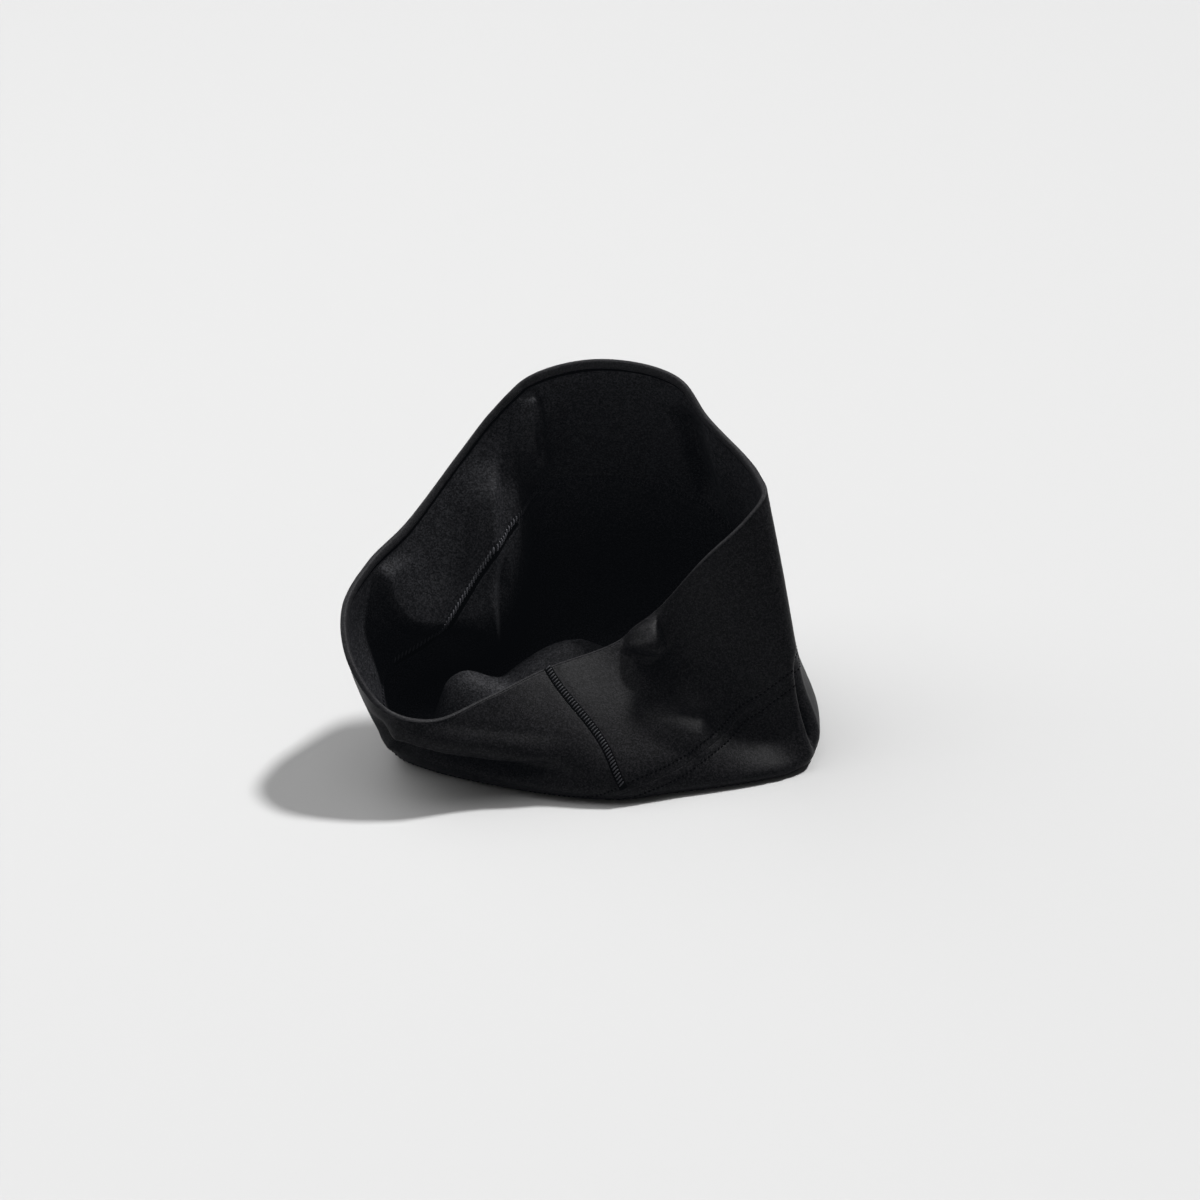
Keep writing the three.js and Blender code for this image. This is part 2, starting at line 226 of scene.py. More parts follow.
def meridians(turns):
    """The lines of cloth from the rim, down the wall, under the foot and in to the crown's centre."""
    foot = spline(FOOT, turns, True)
    centre = np.array([*CROWN_CENTRE, CROWN_RISE], float)
    reach = np.linalg.norm((foot - centre)[:, :2], axis=1)[:, None]

    def in_from(inset, height):
        point = foot + (centre - foot) * (inset / reach)
        point[:, 2] = height
        return point

    inset = foot[:, 2:] * FOOT_INSET
    flat_end = inset + FLAT_WIDTH
    knots = [
        spline(RIM, turns, True),
        spline(BROW, turns, True),
        spline(TUCK, turns, True),
        foot,
        in_from(inset, CLOTH / 2),
        in_from(flat_end, CLOTH / 2),
        in_from((flat_end + reach) / 2, CROWN_RISE * CROWN_SHOULDER),
        np.broadcast_to(centre, foot.shape),
    ]
    points = spline(np.stack(knots), np.linspace(0, 1, MERIDIAN_STEPS + 1), False)
    points[..., 2] = np.maximum(points[..., 2], CLOTH / 2)
    steps = np.linalg.norm(np.diff(points, axis=0), axis=-1)
    lengths = np.concatenate([np.zeros((1, len(turns))), np.cumsum(steps, axis=0)])
    lip = points[0] + unit(points[0] - points[1]) * OVERRUN
    return np.concatenate([[lip], points]), np.concatenate([np.full((1, len(turns)), -OVERRUN), lengths])


LINES, LENGTHS = meridians(ALL_TURNS)
WHOLE = LENGTHS[-1]  # length of each line, from the rim to the crown's centre
FLAT_ENDS = LENGTHS[1 + FLAT_LEGS * MERIDIAN_STEPS // MERIDIAN_LEGS]
DOWNS = np.arange(-OVERRUN, WHOLE.max() + LATTICE, LATTICE)
STATION_OF = ALL_TURNS * STATIONS


def plain_cloth():
    """Points of the cloth without its folds, at every turn and length down."""
    found = np.empty((COLUMNS, len(DOWNS), 3))
    for i in range(COLUMNS):
        for axis in range(3):
            found[i, :, axis] = np.interp(DOWNS, LENGTHS[:, i], LINES[:, i, axis])
    return found


def normals_of(points):
    """Outward normals of the cloth, which face straight down at the crown's centre."""
    around = np.roll(points, -1, axis=0) - np.roll(points, 1, axis=0)
    along = np.gradient(points, axis=1)
    crossed = np.cross(along, around)
    crossed[DOWNS[None, :] > WHOLE[:, None] - POLE_CAP] = (0, 0, -1)
    return unit(crossed)


def apart(stations, station):
    """How many sections apart, the short way round."""
    away = stations - station
    return away - STATIONS * np.round(away / STATIONS)


def crest_of(across, kind):
    across = np.clip(across, 0, 1)
    return across**SHARP_POWER if kind == "sharp" else smooth(across)


def fold_depth():
    depth = np.zeros((COLUMNS, len(DOWNS)))
    for fold in FOLDS:
        across = 1 - np.abs(apart(STATION_OF, fold["station"])) / fold["half_width"]
        start, end = fold["reach"]
        along = np.maximum(0, 1 - np.abs(DOWNS - (start + end) / 2) / ((end - start) / 2))
        height = crest_of(across, fold["crest"])[:, None]
        depth += fold["depth"] * height * smooth(along * FOLD_EASE)[None, :]
    return depth


def mound_rise(points):
    rise = np.zeros(points.shape[:-1])
    for mound in MOUNDS:
        away = np.linalg.norm(points[..., :2] - mound["at"], axis=-1)
        rise += mound["rise"] * smooth(1 - away / mound["reach"])
    return rise


def broad_cloth():
    """The cloth with its broad folds and mounds, as the solids have it."""
    points = plain_cloth()
    points -= normals_of(points) * fold_depth()[..., None]
    past_flat = smooth((DOWNS[None, :] - FLAT_ENDS[:, None]) / FLAT_WIDTH)
    points[..., 2] += mound_rise(points) * past_flat
    return points


def sampled(lattice, turns, downs):
    """Values of a lattice over the cloth, between its places."""
    column = (turns % 1) * COLUMNS
    i = column.astype(int) % COLUMNS
    row = np.clip((downs + OVERRUN) / LATTICE, 0, len(DOWNS) - 1.001)
    k = row.astype(int)
    u = (column - np.floor(column))[..., None]
    v = (row - k)[..., None]
    j = (i + 1) % COLUMNS
    near = lattice[i, k] * (1 - v) + lattice[i, k + 1] * v
    far = lattice[j, k] * (1 - v) + lattice[j, k + 1] * v
    return near * (1 - u) + far * u


LINE_STEPS = 36
LINE_EASE = (0.25, 0.25)  # the usual ends of a crease
CREASE_MARGIN = 1.5  # sections to each side of its line that a crease may reach
CREST_ROUND = 1.0  # radius of the cloth's bend along a crease


def crease_depth(points, facing):
    """How far the finer creases move the cloth, from the distance to each crease's line."""
    depth = np.zeros(points.shape[:-1])
    for crease in CREASES:
        stations, downs = spline(np.array(crease["line"], float), np.linspace(0, 1, LINE_STEPS + 1), False).T
        line = sampled(points, stations / STATIONS, downs)
        normals = unit(sampled(facing, stations / STATIONS, downs))
        middle = stations[LINE_STEPS // 2]
        columns = np.abs(apart(STATION_OF, middle)) < np.abs(stations - middle).max() + CREASE_MARGIN
        reach = max(crease["widths"])
        rows = (DOWNS > downs.min() - reach) & (DOWNS < downs.max() + reach)
        patch = np.ix_(columns, rows)
        some = points[patch]
        nearest = np.full(some.shape[:-1], np.inf)
        share = np.zeros(some.shape[:-1])
        beside = np.zeros(some.shape[:-1])
        for k in range(LINE_STEPS):
            step = line[k + 1] - line[k]
            from_line = some - line[k]
            at = np.clip((from_line @ step) / (step @ step), 0, 1)
            away = np.linalg.norm(from_line - at[..., None] * step, axis=-1)
            closer = away < nearest
            nearest = np.where(closer, away, nearest)
            share = np.where(closer, (k + at) / LINE_STEPS, share)
            beside = np.where(closer, from_line @ np.cross(normals[k], step), beside)
        low, high = crease["widths"]
        rounded = np.hypot(nearest, CREST_ROUND) - CREST_ROUND
        height = crest_of(1 - rounded / np.where(beside < 0, low, high), crease["crest"])
        first, last = crease.get("ends", LINE_EASE)
        ends = smooth(share / first) * smooth((1 - share) / last)
        depth[patch] += crease["depth"] * height * ends
    return depth


# Stitching
TWIN_GAUGE = 6.4  # between the two needle rows along the crown seam
ROW_GROOVE = 0.12  # how far the cloth is drawn in along a needle row
ROW_HALF = 0.9  # how far to each side of the row that shows
LADDER_WIDTH = 3.6  # width of the back seam's ladder stitch
LADDER_GROOVE = 0.1  # how far the cloth is drawn in under it
LADDER_FADE = 0.25  # share of its width beyond each side over which that dies away
SEAM_BOW = 5.5  # how far the back seam runs aside from a straight line
BOW_AT = 42  # length down from the rim at which it does so


def seam_bow(downs):
    """Turn of the back seam at lengths down from the rim."""
    aside = SEAM_BOW * smooth(downs / BOW_AT) * smooth((2 * BOW_AT - downs) / BOW_AT)
    return aside / MOUTH_ROUND


def stitch_depth():
    """How far the needle rows and the back seam draw the cloth in."""
    below = DOWNS[None, :] - seam_drop(ALL_TURNS)[:, None]
    rows = np.abs(np.abs(below) - TWIN_GAUGE / 2)
    depth = ROW_GROOVE * smooth(1 - rows / ROW_HALF)
    beside = np.abs(apart(STATION_OF[:, None], seam_bow(DOWNS) * STATIONS)) * MOUTH_ROUND / STATIONS
    ladder = smooth((LADDER_WIDTH * (0.5 + LADDER_FADE) - beside) / (LADDER_WIDTH * LADDER_FADE))
    return depth + LADDER_GROOVE * ladder * (below < 0)


def finished_cloth():
    """The middle of the cloth's thickness, with every fold, crease and stitched line."""
    points = broad_cloth()
    facing = normals_of(points)
    depth = crease_depth(points, facing) + stitch_depth()
    return points - facing * depth[..., None]


MIDDLE = finished_cloth()
NORMALS = normals_of(MIDDLE)


def face_points(turns, downs, offsets):
    """Points of the cloth at offsets from its middle, outward if positive, pressed flat on the floor."""
    points = sampled(MIDDLE, turns, downs) + unit(sampled(NORMALS, turns, downs)) * offsets[..., None]
    pressed = (offsets > 0) & (points[..., 2] < FLOOR_SNAP)
    points[..., 2] = np.where(pressed, 0, points[..., 2])
    return points


HEM_HALF = 1.4  # half the thickness of the frame's hem


def place():
    """The way from the tables' origin to the frame's: the hem's right and back sides lie as they do there."""
    here = LINES[1].max(axis=0) + HEM_HALF
    there = np.array(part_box("rim_hem")[1]) / MM
    return np.array([there[0] - here[0], there[1] - here[1], 0])


PLACE = place()


def new_object(name, points, faces, coordinates=None):
    """A mesh object from points in millimetres, with a UV pair for each corner of its faces."""
    mesh = bpy.data.meshes.new(name)
    mesh.from_pydata(((points + PLACE) * MM).tolist(), [], [list(face) for face in faces])
    if coordinates is not None:
        layer = mesh.uv_layers.new(name="cloth")
        layer.data.foreach_set("uv", (np.asarray(coordinates, float) * MM).ravel())
    mesh.polygons.foreach_set("use_smooth", np.ones(len(mesh.polygons), bool))
    mesh.update()
    piece = bpy.data.objects.new(name, mesh)
    bpy.context.scene.collection.objects.link(piece)
    return piece


def ring_faces(columns, count, closed_section):
    """Quads between neighbouring sections of a ring, as (column, place) pairs."""
    steps = count if closed_section else count - 1
    i, k = np.meshgrid(np.arange(columns), np.arange(steps), indexing="ij")
    corners = [(i, k), (i, k + 1), (i + 1, k + 1), (i + 1, k)]
    return np.stack([np.stack(c, axis=-1) for c in corners], axis=2).reshape(-1, 4, 2)


def ring_object(name, sections, layout):
    """A ring of closed sections, with layout giving each corner's place in the cloth."""
    columns, count = sections.shape[:2]
    quads = ring_faces(columns, count, True)
    index = (quads[..., 0] % columns) * count + quads[..., 1] % count
    return new_object(name, sections.reshape(-1, 3), index.tolist(), layout(quads))


EDGE_DIP = 0.06  # how much thinner the cloth is on each face at a cut edge
EDGE_REACH = 0.7  # how far in from the edge that reaches
BAND_TOP = 0.5  # length down from the rim at which the band starts, inside the hem
# Rows of the mesh beside the crown seam, closest where the needle rows draw the cloth in
SEAM_STEPS = (0, 0.2, 0.45, 0.8, 1.4, 2.0, 2.4, 2.7, 2.95, 3.2, 3.45, 3.7, 4.0, 4.4, 5.0, 6.0)


def edge_rounding(distances):
    """How much thinner the cloth is near a cut edge."""
    return EDGE_DIP * (1 - smooth(distances / EDGE_REACH))


def side_band():
    """The strip of cloth round the head, from the lip down to the crown seam."""
    seam = seam_drop(ALL_TURNS)[:, None]
    steps = np.array(SEAM_STEPS)[::-1]
    upper = BAND_TOP + (seam - steps[0] - BAND_TOP) * np.linspace(0, 1, BAND_ROWS)[None, :-1]
    downs = np.concatenate([upper, seam - steps], axis=1)
    half = CLOTH / 2 - edge_rounding(seam - downs)
    turns = np.broadcast_to(ALL_TURNS[:, None], downs.shape)
    outer, inner = (face_points(turns, downs, side * half) for side in (1, -1))
    sections = np.concatenate([outer, inner[:, ::-1]], axis=1)
    rows = downs.shape[1]

    def layout(quads):
        place_in = quads[..., 1] % (2 * rows)
        row = np.where(place_in < rows, place_in, 2 * rows - 1 - place_in)
        down = downs[quads[..., 0] % COLUMNS, row]
        return np.stack([quads[..., 0] / COLUMNS * MOUTH_ROUND, down], axis=-1)

    piece = ring_object("side_band_cloth", sections, layout)
    inside = np.tile((np.arange(2 * rows) >= rows).astype(int), COLUMNS)
    piece.data.polygons.foreach_set("material_index", inside)
    return piece


def crown():
    """The rounded top that the cap lies on, from the crown seam in to its centre."""
    seam = seam_drop(ALL_TURNS)[:, None]
    lengths = WHOLE[:, None]
    steps = np.array(SEAM_STEPS)
    start = seam + steps[-1]
    end = lengths - POLE_CAP
    lower = start + (end - start) * np.linspace(0, 1, CROWN_ROWS)[None, 1:]
    downs = np.concatenate([seam + steps, lower], axis=1)
    half = CLOTH / 2 - edge_rounding(downs - seam)
    turns = np.broadcast_to(ALL_TURNS[:, None], downs.shape)
    outer, inner = (face_points(turns, downs, side * half) for side in (1, -1))
    rows = downs.shape[1]
    points = np.concatenate([inner[:, ::-1], outer], axis=1)
    quads = ring_faces(COLUMNS, 2 * rows, False)
    index = (quads[..., 0] % COLUMNS) * 2 * rows + quads[..., 1]
    poles = [inner[:, -1].mean(axis=0), outer[:, -1].mean(axis=0)]
    flat = np.concatenate([points.reshape(-1, 3), poles])
    pole = np.full(COLUMNS, COLUMNS * 2 * rows)
    first = np.arange(COLUMNS) * 2 * rows
    following = np.roll(first, -1)
    last = 2 * rows - 1
    inner_fan = np.stack([first, following, pole], axis=1)
    outer_fan = np.stack([following + last, first + last, pole + 1], axis=1)
    faces = index.tolist() + inner_fan.tolist() + outer_fan.tolist()

    def spread_out(column, place_in):
        row = np.where(place_in < rows, rows - 1 - place_in, place_in - rows)
        radius = lengths[column % COLUMNS, 0] - downs[column % COLUMNS, row]
        angle = column / COLUMNS * 2 * math.pi
        return np.stack([radius * np.cos(angle), radius * np.sin(angle)], axis=-1)

    corners = [spread_out(quads[..., 0], quads[..., 1]).reshape(-1, 2), np.zeros((6 * COLUMNS, 2))]
    piece = new_object("crown_cloth", flat, faces, np.concatenate(corners))
    inside = np.concatenate([
        np.tile((np.arange(2 * rows - 1) < rows).astype(int), COLUMNS),
        np.ones(COLUMNS, int),
        np.zeros(COLUMNS, int),
    ])
    piece.data.polygons.foreach_set("material_index", inside)
    return piece


# The turned edge's section: lengths down from the rim, and out from the cloth's middle
HEM_SECTION = [
    (0.6, 0.9), (0.25, 0.82), (-0.1, 0.55), (-0.3, 0.1), (-0.35, -0.5), (-0.25, -1.0), (0.1, -1.4),
    (0.7, -1.65), (1.4, -1.75), (2.2, -1.75), (2.8, -1.65), (3.2, -1.45), (3.45, -1.1), (3.5, -0.7),
    (2.6, -0.4), (1.2, -0.3), (0.8, 0.3),
]


def rim_hem():
    """The narrow edge turned in round the mouth."""
    downs, outs = np.array(HEM_SECTION).T
    turns, spots = np.meshgrid(ALL_TURNS, downs, indexing="ij")
    sections = face_points(turns, spots, np.broadcast_to(outs, spots.shape))
    run = np.concatenate([[0], np.cumsum(np.hypot(np.diff(downs), np.diff(outs)))])

    def layout(quads):
        return np.stack([quads[..., 0] / COLUMNS * MOUTH_ROUND, run[quads[..., 1] % len(run)]], axis=-1)

    return ring_object("rim_hem_cloth", sections[:, ::-1], layout)


# Threads: short stitches, each a thin arched tube with closed ends
THREAD_SIDES = 6
# Rings of a stitch: the share of its length, and the shares of its width and of its arch there
THREAD_RINGS = ((0, 0.5, 0), (0.15, 0.9, 0.6), (0.5, 1, 1), (0.85, 0.9, 0.6), (1, 0.5, 0))


def stitches(name, starts, ends, normals, radius, arch):
    """One mesh of arched stitches from starts to ends, standing on the cloth along normals."""
    run = ends - starts
    across = unit(np.cross(run, normals))
    lifted = unit(np.cross(across, run))
    angles = np.arange(THREAD_SIDES) * 2 * math.pi / THREAD_SIDES
    rings = []
    for share, width, height in THREAD_RINGS:
        centre = starts + run * share + lifted * (arch * height)
        ring = [
            centre + (across * math.cos(a) + lifted * math.sin(a)) * radius * width
            for a in angles
        ]
        rings.append(np.stack(ring, axis=1))
    points = np.concatenate([*rings, starts[:, None], ends[:, None]], axis=1)
    each = points.shape[1]
    faces = []
    for ring in range(len(THREAD_RINGS) - 1):
        for side in range(THREAD_SIDES):
            a = ring * THREAD_SIDES + side
            b = ring * THREAD_SIDES + (side + 1) % THREAD_SIDES
            faces.append((a, b, b + THREAD_SIDES, a + THREAD_SIDES))
    last = (len(THREAD_RINGS) - 1) * THREAD_SIDES
    for side in range(THREAD_SIDES):
        after = (side + 1) % THREAD_SIDES
        faces.append((after, side, each - 2))
        faces.append((last + side, last + after, each - 1))
    every = [[corner + each * i for corner in face] for i in range(len(starts)) for face in faces]
    return new_object(name, points.reshape(-1, 3), every)


def on_cloth(turns, downs, offset):
    """Single points of the cloth's face, and the way it faces."""
    normal = unit(sampled(NORMALS, turns, downs))
    return sampled(MIDDLE, turns, downs) + normal * offset, normal * np.sign(offset)


def turns_across(turns, downs, width):
    """The turn that a width across the cloth comes to at each place."""
    one = sampled(MIDDLE, turns + TURN_STEP, downs) - sampled(MIDDLE, turns - TURN_STEP, downs)
    return width * 2 * TURN_STEP / np.linalg.norm(one, axis=-1)


CORD_SIDES = 10


def cord(name, turns, downs, offset, width, height, closed):
    """A flat tube along a line on the cloth, which ends in flat caps or runs all round."""
    centre, up = on_cloth(turns, downs, offset)
    if closed:
        along = np.roll(centre, -1, axis=0) - np.roll(centre, 1, axis=0)
    else:
        along = np.gradient(centre, axis=0)
    across = unit(np.cross(along, up))
    rings = [
        centre + across * (math.cos(angle) * width / 2) + up * (math.sin(angle) * height)
        for angle in np.arange(CORD_SIDES) * 2 * math.pi / CORD_SIDES
    ]
    points = np.stack(rings, axis=1).reshape(-1, 3)
    count = len(centre)
    quads = ring_faces(count if closed else count - 1, CORD_SIDES, True)[:, ::-1]
    index = (quads[..., 0] % count) * CORD_SIDES + quads[..., 1] % CORD_SIDES
    faces = index.tolist()
    if not closed:
        faces.append(list(range(CORD_SIDES)))
        faces.append(list(range(len(points) - 1, len(points) - 1 - CORD_SIDES, -1)))
    return new_object(name, points, faces)


FACE = CLOTH / 2  # from the cloth's middle to its faces
# The ladder that joins the band's two ends
LADDER_START = 0.2  # length down from the rim
LADDER_SHORT = 2  # the rungs stop this far above the crown seam
LADDER_PITCH = 1.3
LADDER_RUNG = 2.5
LADDER_SLANT = 0.35  # share of the pitch by which each end of a rung is raised or lowered
RUNG = {"lift": 0.25, "radius": 0.3, "arch": 0.15}
# The black strip under the rungs: painted shade for the gaps between them
LADDER_SHADE_SHORT = 1
LADDER_SHADE_STEP = 0.6
LADDER_SHADE_HEIGHT = 0.3
# The two needle rows outside
ROW_PITCH = 1.9
ROW_STITCH = 0.95
ROW_THREAD = {"sink": 0.05, "radius": 0.4, "arch": 0.1}
# The loops inside, and beside them a black cord: painted shade in the seam's opening
LOOP_PITCH = 1.8
LOOP_RUNG = 2.4
LOOP_SLANT = 0.4  # share of the pitch that a loop runs on by
LOOP = {"lift": 0.1, "radius": 0.42, "arch": 0.35}
SEAM_SHADE_BELOW = 0.7  # how far past the seam the painted shade line inside lies
SEAM_SHADE_WIDTH = 2.2
SEAM_SHADE_HEIGHT = 0.15
LIT_FACET_STATIONS = (12.0, 14.6)  # sections of the lit facet: only here the loops are painted lighter, as painted light, and the painted shade line is drawn
SEAM_SHADE_STEPS = COLUMNS // 4
# The black line of painted shade along the turned edge's groove
HEM_END = 3.9  # its length down from the rim
HEM_SHADE_WIDTH = 1.1
HEM_SHADE_HEIGHT = 0.3


def back_seam_threads():
    """The ladder of rungs that joins the band's two ends, and a black strip under it: painted shade for the
    gaps between the rungs.
    """
    count = int((SECTIONS[0]["seam"] - LADDER_SHORT) / LADDER_PITCH)
    downs = LADDER_START + np.arange(count) * LADDER_PITCH
    middle = seam_bow(downs)
    half = turns_across(middle, downs, LADDER_RUNG / 2)
    slant = LADDER_PITCH * LADDER_SLANT
    left, up = on_cloth(middle - half, downs + slant, FACE + RUNG["lift"])
    right, up = on_cloth(middle + half, downs - slant, FACE + RUNG["lift"])
    rungs = stitches("back_seam_rungs", left, right, up, RUNG["radius"], RUNG["arch"])
    # a black cord of painted shade along the seam, under the rungs
    shade_downs = np.arange(LADDER_START, SECTIONS[0]["seam"] - LADDER_SHADE_SHORT, LADDER_SHADE_STEP)
    ground = cord("back_seam_painted_shade", seam_bow(shade_downs), shade_downs, FACE, LADDER_WIDTH, LADDER_SHADE_HEIGHT, False)
    return [ground, rungs]


def seam_length():
    points = sampled(MIDDLE, ALL_TURNS, seam_drop(ALL_TURNS))
    steps = np.linalg.norm(np.roll(points, -1, axis=0) - points, axis=1)
    return np.concatenate([[0], np.cumsum(steps)])


def even_turns(pitch):
    """Turns that lie a pitch apart along the crown seam."""
    lengths = seam_length()
    count = int(lengths[-1] / pitch)
    marks = np.arange(count) * lengths[-1] / count
    return np.interp(marks, lengths, np.arange(COLUMNS + 1) / COLUMNS), lengths[-1] / count


def to_next(turns):
    """From each turn to the one after it, all round."""
    ahead = np.roll(turns, -1)
    ahead[-1] += 1
    return ahead - turns


def crown_seam_threads():
    """Two needle rows outside along the crown seam."""
    turns, pitch = even_turns(ROW_PITCH)
    stop = turns + to_next(turns) * ROW_STITCH / pitch
    offset = FACE - ROW_THREAD["sink"]
    rows = []
    for side, name in ((-1, "upper"), (1, "lower")):
        start, up = on_cloth(turns, seam_drop(turns) + side * TWIN_GAUGE / 2, offset)
        end, up = on_cloth(stop, seam_drop(stop) + side * TWIN_GAUGE / 2, offset)
        row = stitches(f"crown_seam_{name}_row", start, end, up, ROW_THREAD["radius"], ROW_THREAD["arch"])
        rows.append(row)
    return rows


def crown_seam_loops():
    """The looped thread along the crown seam inside, painted lighter over the lit facet as painted light, and
    there beside it a black cord of painted shade for the seam's opening.
    """
    turns, _ = even_turns(LOOP_PITCH)
    stop = turns + to_next(turns) * LOOP_SLANT
    offset = -FACE - LOOP["lift"]
    start, up = on_cloth(turns, seam_drop(turns) - LOOP_RUNG, offset)
    end, up = on_cloth(stop, seam_drop(stop), offset)
    lit_stretch = (turns * STATIONS > LIT_FACET_STATIONS[0]) & (turns * STATIONS < LIT_FACET_STATIONS[1])
    loops = [
        stitches(name, start[some], end[some], up[some], LOOP["radius"], LOOP["arch"])
        for name, some in (("crown_seam_loops", ~lit_stretch), ("crown_seam_lit_loops", lit_stretch))
    ]
    open_turns = np.linspace(*LIT_FACET_STATIONS, SEAM_SHADE_STEPS) / STATIONS
    below = seam_drop(open_turns) + SEAM_SHADE_BELOW
    gap = cord("crown_seam_gap_shade", open_turns, below, -FACE, SEAM_SHADE_WIDTH, SEAM_SHADE_HEIGHT, False)
    return [gap, *loops]


def painted_groove_shade():
    """A black line of painted shade where the turned edge meets the brushed side, standing for the shade in
    the groove there.
    """
    downs = np.full(COLUMNS, HEM_END)
    return cord("rim_hem_groove_shade", ALL_TURNS, downs, -FACE, HEM_SHADE_WIDTH, HEM_SHADE_HEIGHT, True)


# Materials
TIP_POWER = 1.6  # makes the brightest fibre tips rarer
TIP_SHARE = 0.8  # how much of a fleck the fibre tips make
GRAIN_SHARE = 0.2  # and how much the grain does
GRAIN_RANGE = (0.35, 0.65)  # the part of the grain's noise that counts
GRAIN_DETAIL = 2.0
GRAIN_ROUGHNESS = 0.6
MOTTLE_DETAIL = 3.0
PAINTED_HAZE_GLOW = 0.0022  # a faint glow painted on all the cloth, as painted light standing for stray light in a lens: keeps the deepest folds off pure black
PAINTED_HAZE_COLOUR = (0.85, 1.0, 1.25, 1)


def cloth_grain():
    """A shared effect: fibre tips, grain and soft mottling, from a place on the cloth."""
    group = bpy.data.node_groups.new("cloth_grain", "ShaderNodeTree")
    face = group.interface
    face.new_socket("Place", in_out="INPUT", socket_type="NodeSocketVector")
    for name, value in (("Fibre Scale", 2000.0), ("Grain Scale", 1000.0), ("Mottle Scale", 60.0)):
        socket = face.new_socket(name, in_out="INPUT", socket_type="NodeSocketFloat")
        socket.default_value = value
    for name in ("Height", "Fleck", "Mottle"):
        face.new_socket(name, in_out="OUTPUT", socket_type="NodeSocketFloat")
    nodes, links = group.nodes, group.links
    given = nodes.new("NodeGroupInput")
    made = nodes.new("NodeGroupOutput")
    fibres = nodes.new("ShaderNodeTexVoronoi")
    links.new(given.outputs["Place"], fibres.inputs["Vector"])
    links.new(given.outputs["Fibre Scale"], fibres.inputs["Scale"])
    one = nodes.new("ShaderNodeSeparateColor")
    links.new(fibres.outputs["Color"], one.inputs["Color"])
    fine = nodes.new("ShaderNodeTexNoise")
    fine.inputs["Detail"].default_value = GRAIN_DETAIL
    fine.inputs["Roughness"].default_value = GRAIN_ROUGHNESS
    links.new(given.outputs["Place"], fine.inputs["Vector"])
    links.new(given.outputs["Grain Scale"], fine.inputs["Scale"])
    broad_noise = nodes.new("ShaderNodeTexNoise")
    broad_noise.inputs["Detail"].default_value = MOTTLE_DETAIL
    links.new(given.outputs["Place"], broad_noise.inputs["Vector"])
    links.new(given.outputs["Mottle Scale"], broad_noise.inputs["Scale"])
    fleck = nodes.new("ShaderNodeMath")
    fleck.operation = "MULTIPLY_ADD"
    fleck.inputs[1].default_value = TIP_SHARE
    tips = nodes.new("ShaderNodeMath")
    tips.operation = "POWER"
    tips.inputs[1].default_value = TIP_POWER
    links.new(one.outputs["Red"], tips.inputs[0])
    links.new(tips.outputs["Value"], fleck.inputs[0])
    share = nodes.new("ShaderNodeMapRange")
    share.inputs["From Min"].default_value = GRAIN_RANGE[0]
    share.inputs["From Max"].default_value = GRAIN_RANGE[1]
    share.inputs["To Min"].default_value = 0.0
    share.inputs["To Max"].default_value = GRAIN_SHARE
    links.new(fine.outputs["Fac"], share.inputs["Value"])
    links.new(share.outputs["Result"], fleck.inputs[2])
    links.new(fine.outputs["Fac"], made.inputs["Height"])
    links.new(fleck.outputs["Value"], made.inputs["Fleck"])
    links.new(broad_noise.outputs["Fac"], made.inputs["Mottle"])
    return group


GRAIN = cloth_grain()


def cloth_material(name, dark, light, looks):
    """A cloth finish: dark ground and lighter fibre tips, with grain for bump."""
    material = bpy.data.materials.new(name)
    material.use_nodes = True
    nodes, links = material.node_tree.nodes, material.node_tree.links
    shader = nodes["Principled BSDF"]
    shader.inputs["Specular IOR Level"].default_value = looks["specular"]
    # painted light: each cloth glows faintly and bluish, standing for a lens's stray light, though no lamp is
    # there
    shader.inputs["Emission Color"].default_value = PAINTED_HAZE_COLOUR
    shader.inputs["Emission Strength"].default_value = PAINTED_HAZE_GLOW
    place_node = nodes.new("ShaderNodeTexCoord")
    grain = nodes.new("ShaderNodeGroup")
    grain.node_tree = GRAIN
    grain.inputs["Fibre Scale"].default_value = looks["fibre_scale"]
    grain.inputs["Grain Scale"].default_value = looks["grain_scale"]
    grain.inputs["Mottle Scale"].default_value = looks["mottle_scale"]
    links.new(place_node.outputs["Object"], grain.inputs["Place"])
    colour = nodes.new("ShaderNodeMix")
    colour.data_type = "RGBA"
    colour.inputs["A"].default_value = (*dark, 1)
    colour.inputs["B"].default_value = (*light, 1)
    links.new(grain.outputs["Fleck"], colour.inputs["Factor"])
    links.new(colour.outputs["Result"], shader.inputs["Base Color"])
    rough = nodes.new("ShaderNodeMapRange")
    rough.inputs["To Min"].default_value = looks["roughness"][0]
    rough.inputs["To Max"].default_value = looks["roughness"][1]
    links.new(grain.outputs["Mottle"], rough.inputs["Value"])
    links.new(rough.outputs["Result"], shader.inputs["Roughness"])
    bump = nodes.new("ShaderNodeBump")
    bump.inputs["Strength"].default_value = looks["bump"]
    bump.inputs["Distance"].default_value = looks["bump_depth"] * MM
    links.new(grain.outputs["Height"], bump.inputs["Height"])
    links.new(bump.outputs["Normal"], shader.inputs["Normal"])
    return material


